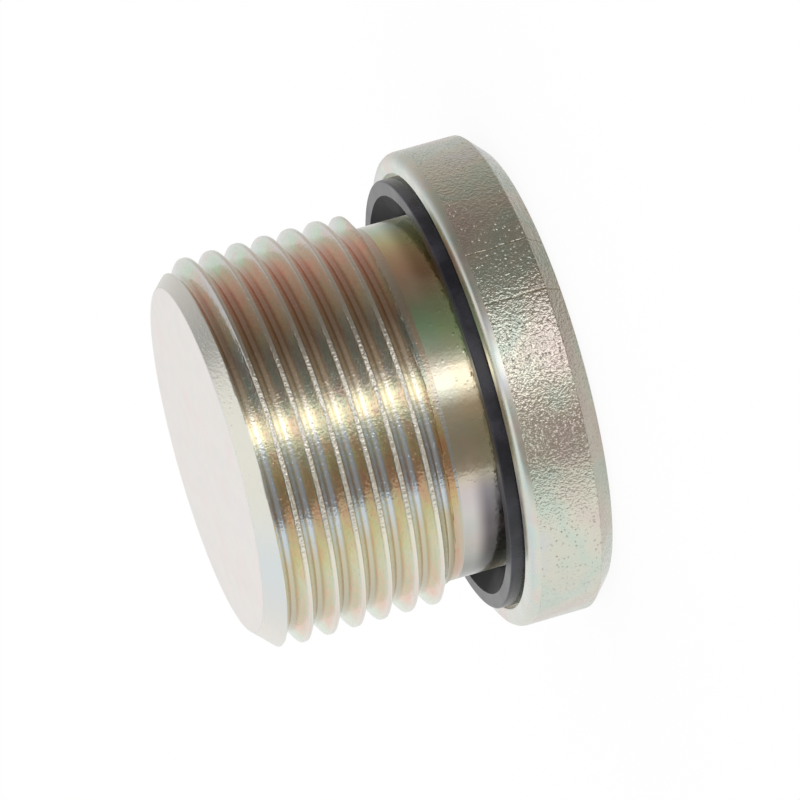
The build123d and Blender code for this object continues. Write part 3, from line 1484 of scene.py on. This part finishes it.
@dataclass
class Studio:
    """Camera, pale floor and soft light round the plug.

    Attributes:
        azimuth: the camera's direction from the axis, in degrees from +X.
        elevation: how far it looks down on the free end, in degrees.
        roll: how far the plug's axis rises across the view, in degrees.
        distance: camera to the free end's plane, in millimetres.
        scale: pixels to the millimetre in that plane.
        end_pixel: where the free end's centre falls in the view.
        end_height: height of the free end.
        clip_start: where the camera's reach begins, in metres.
        floor_radius: radius of the floor, in metres.
        floor_drop: how far the floor lies below the head face.
        floor_colour: the floor's own colour.
        floor_glow: how strongly it glows.
        high_tint: tint of the walls near the roof.
        high_span: the part of the way up over which it comes in.
        low_tint: tint of the walls near the ground.
        low_span: the part of the way down over which it comes in.
        roof_colour: the roof's colour.
        roof_span: the part of the way up over which the roof comes in.
    """

    azimuth: float = -170.3
    elevation: float = 10.9
    roll: float = 15.8
    distance: float = 420.0
    scale: float = 18.4
    end_pixel: Point = (206.0, 460.5)
    end_height: float = 19.0
    clip_start: float = 0.01
    floor_radius: float = 3.0
    floor_drop: float = 0.02
    floor_colour: Colour = (0.08, 0.08, 0.08)
    floor_glow: float = 0.92
    high_tint: Colour = (0.86, 0.95, 1.06)
    high_span: Span = (0.25, 0.8)
    low_tint: Colour = (0.68, 0.655, 0.63)
    low_span: Span = (-0.45, -0.85)
    roof_colour: Colour = (0.80, 0.81, 0.78)
    roof_span: Span = (0.80, 0.93)

    def towards_camera(self) -> Vector:
        """The level direction from the plug's axis to the camera."""
        angle = math.radians(self.azimuth)
        return Vector((math.cos(angle), math.sin(angle), 0.0))

    def build_camera(self) -> None:
        """Places the camera."""
        tilt, roll = math.radians(self.elevation), math.radians(self.roll)
        forward = -self.towards_camera() * math.cos(tilt) - Vector((0, 0, math.sin(tilt)))
        along = (Vector((0, 0, -1)) - forward * math.sin(tilt)).normalized()
        across = along.cross(forward)
        right = along * math.cos(roll) - across * math.sin(roll)
        up = along * math.sin(roll) + across * math.cos(roll)
        middle = VIEW_SIDE / 2
        place = Vector((0, 0, self.end_height)) - forward * self.distance
        place += right * ((middle - self.end_pixel[0]) / self.scale)
        place += up * ((self.end_pixel[1] - middle) / self.scale)
        data = bpy.data.cameras.new("camera")
        data.sensor_width = SENSOR_WIDTH
        data.lens = self.scale * self.distance * SENSOR_WIDTH / VIEW_SIDE
        data.clip_start = self.clip_start
        camera = bpy.data.objects.new("camera", data)
        turned = Matrix((right, up, -forward)).transposed().to_4x4()
        camera.matrix_world = Matrix.Translation(place * MM) @ turned
        bpy.context.scene.collection.objects.link(camera)
        bpy.context.scene.camera = camera

    def build_floor(self) -> None:
        """Makes the pale floor, which the metal doesn't mirror."""
        mesh = bmesh.new()
        bmesh.ops.create_circle(mesh, cap_ends=True, segments=64, radius=self.floor_radius)
        data = bpy.data.meshes.new("floor")
        mesh.to_mesh(data)
        mesh.free()
        floor = bpy.data.objects.new("floor", data)
        floor.location.z = -self.floor_drop * MM
        floor.visible_glossy = False
        bpy.context.scene.collection.objects.link(floor)
        material = bpy.data.materials.new("floor_paint")
        material.use_nodes = True
        sheet = NodeSheet(material.node_tree)
        paint = sheet.add("ShaderNodeBsdfPrincipled")
        paint.inputs["Base Color"].default_value = (*self.floor_colour, 1.0)
        paint.inputs["Roughness"].default_value = 1.0
        paint.inputs["Specular IOR Level"].default_value = 0.0
        paint.inputs["Emission Color"].default_value = (*WHITE, 1.0)
        paint.inputs["Emission Strength"].default_value = self.floor_glow
        clear = sheet.add("ShaderNodeBsdfTransparent")
        one_sided = sheet.add("ShaderNodeMixShader")
        sheet.feed(one_sided.inputs[0], sheet.add("ShaderNodeNewGeometry").outputs["Backfacing"])
        sheet.feed(one_sided.inputs[1], paint.outputs[0])
        sheet.feed(one_sided.inputs[2], clear.outputs[0])
        sheet.feed(sheet.add("ShaderNodeOutputMaterial").inputs["Surface"], one_sided.outputs[0])
        data.materials.append(material)

    def build_light(self) -> None:
        """Makes the soft white surround, with the walls that the metal mirrors."""
        world = bpy.data.worlds.new("studio")
        world.use_nodes = True
        bpy.context.scene.world = world
        sheet = NodeSheet(world.node_tree)
        x, y, z = sheet.split(sheet.add("ShaderNodeTexCoord").outputs["Generated"])
        front = self.towards_camera()
        x_ahead, y_aside = (sheet.math("MULTIPLY", part, front.x) for part in (x, y))
        x_aside, y_ahead = (sheet.math("MULTIPLY", part, front.y) for part in (x, y))
        ahead = sheet.math("ADD", x_ahead, y_ahead)
        aside = sheet.math("SUBTRACT", y_aside, x_aside)
        turn = sheet.math("ARCTAN2", aside, ahead)
        place = sheet.math("ADD", sheet.math("DIVIDE", turn, FULL_TURN), 0.5)
        walls = sheet.ramp(place, [band.stop for band in STUDIO_BANDS])
        for tint, reach in ((self.high_tint, self.high_span), (self.low_tint, self.low_span)):
            walls = sheet.mix(sheet.span(z, *reach), walls, sheet.tinted(walls, tint))
        walls = sheet.mix(sheet.span(z, *self.roof_span), walls, self.roof_colour)

        path = sheet.add("ShaderNodeLightPath")
        mirrored = sheet.add("ShaderNodeBackground")
        sheet.feed(mirrored.inputs["Color"], walls)
        soft = sheet.add("ShaderNodeBackground")
        soft.inputs["Color"].default_value = (*WHITE, 1.0)
        soft.inputs["Strength"].default_value = 1.0
        chosen = sheet.add("ShaderNodeMixShader")
        sheet.feed(chosen.inputs[0], path.outputs["Is Glossy Ray"])
        sheet.feed(chosen.inputs[1], soft.outputs[0])
        sheet.feed(chosen.inputs[2], mirrored.outputs[0])
        sheet.feed(sheet.add("ShaderNodeOutputWorld").inputs["Surface"], chosen.outputs[0])

    def build(self) -> None:
        """Makes all of it."""
        self.build_camera()
        self.build_floor()
        self.build_light()
        bpy.context.scene.view_settings.view_transform = "Standard"
        log.info("studio: camera, floor and light")


# ---- All together ---------------------------------------------------------------------------------


def main() -> None:
    """Builds the studio and the plug."""
    logging.basicConfig(level=logging.INFO, format="%(name)s: %(message)s")
    effects = SurfaceEffects(film=make_film_group(), grain=make_grain_group())
    materials = {region: finish.make(effects) for region, finish in FINISHES.items()}
    Studio().build()
    body = TurnedBody()
    turned = body.build(materials[Region.THREAD])
    body.dress(turned, materials)
    ring = SealingRing()
    ring.dress(ring.build(), BAND_RUBBER.make(effects), BEVEL_RUBBER.make(effects))


if __name__ == "__main__":
    main()
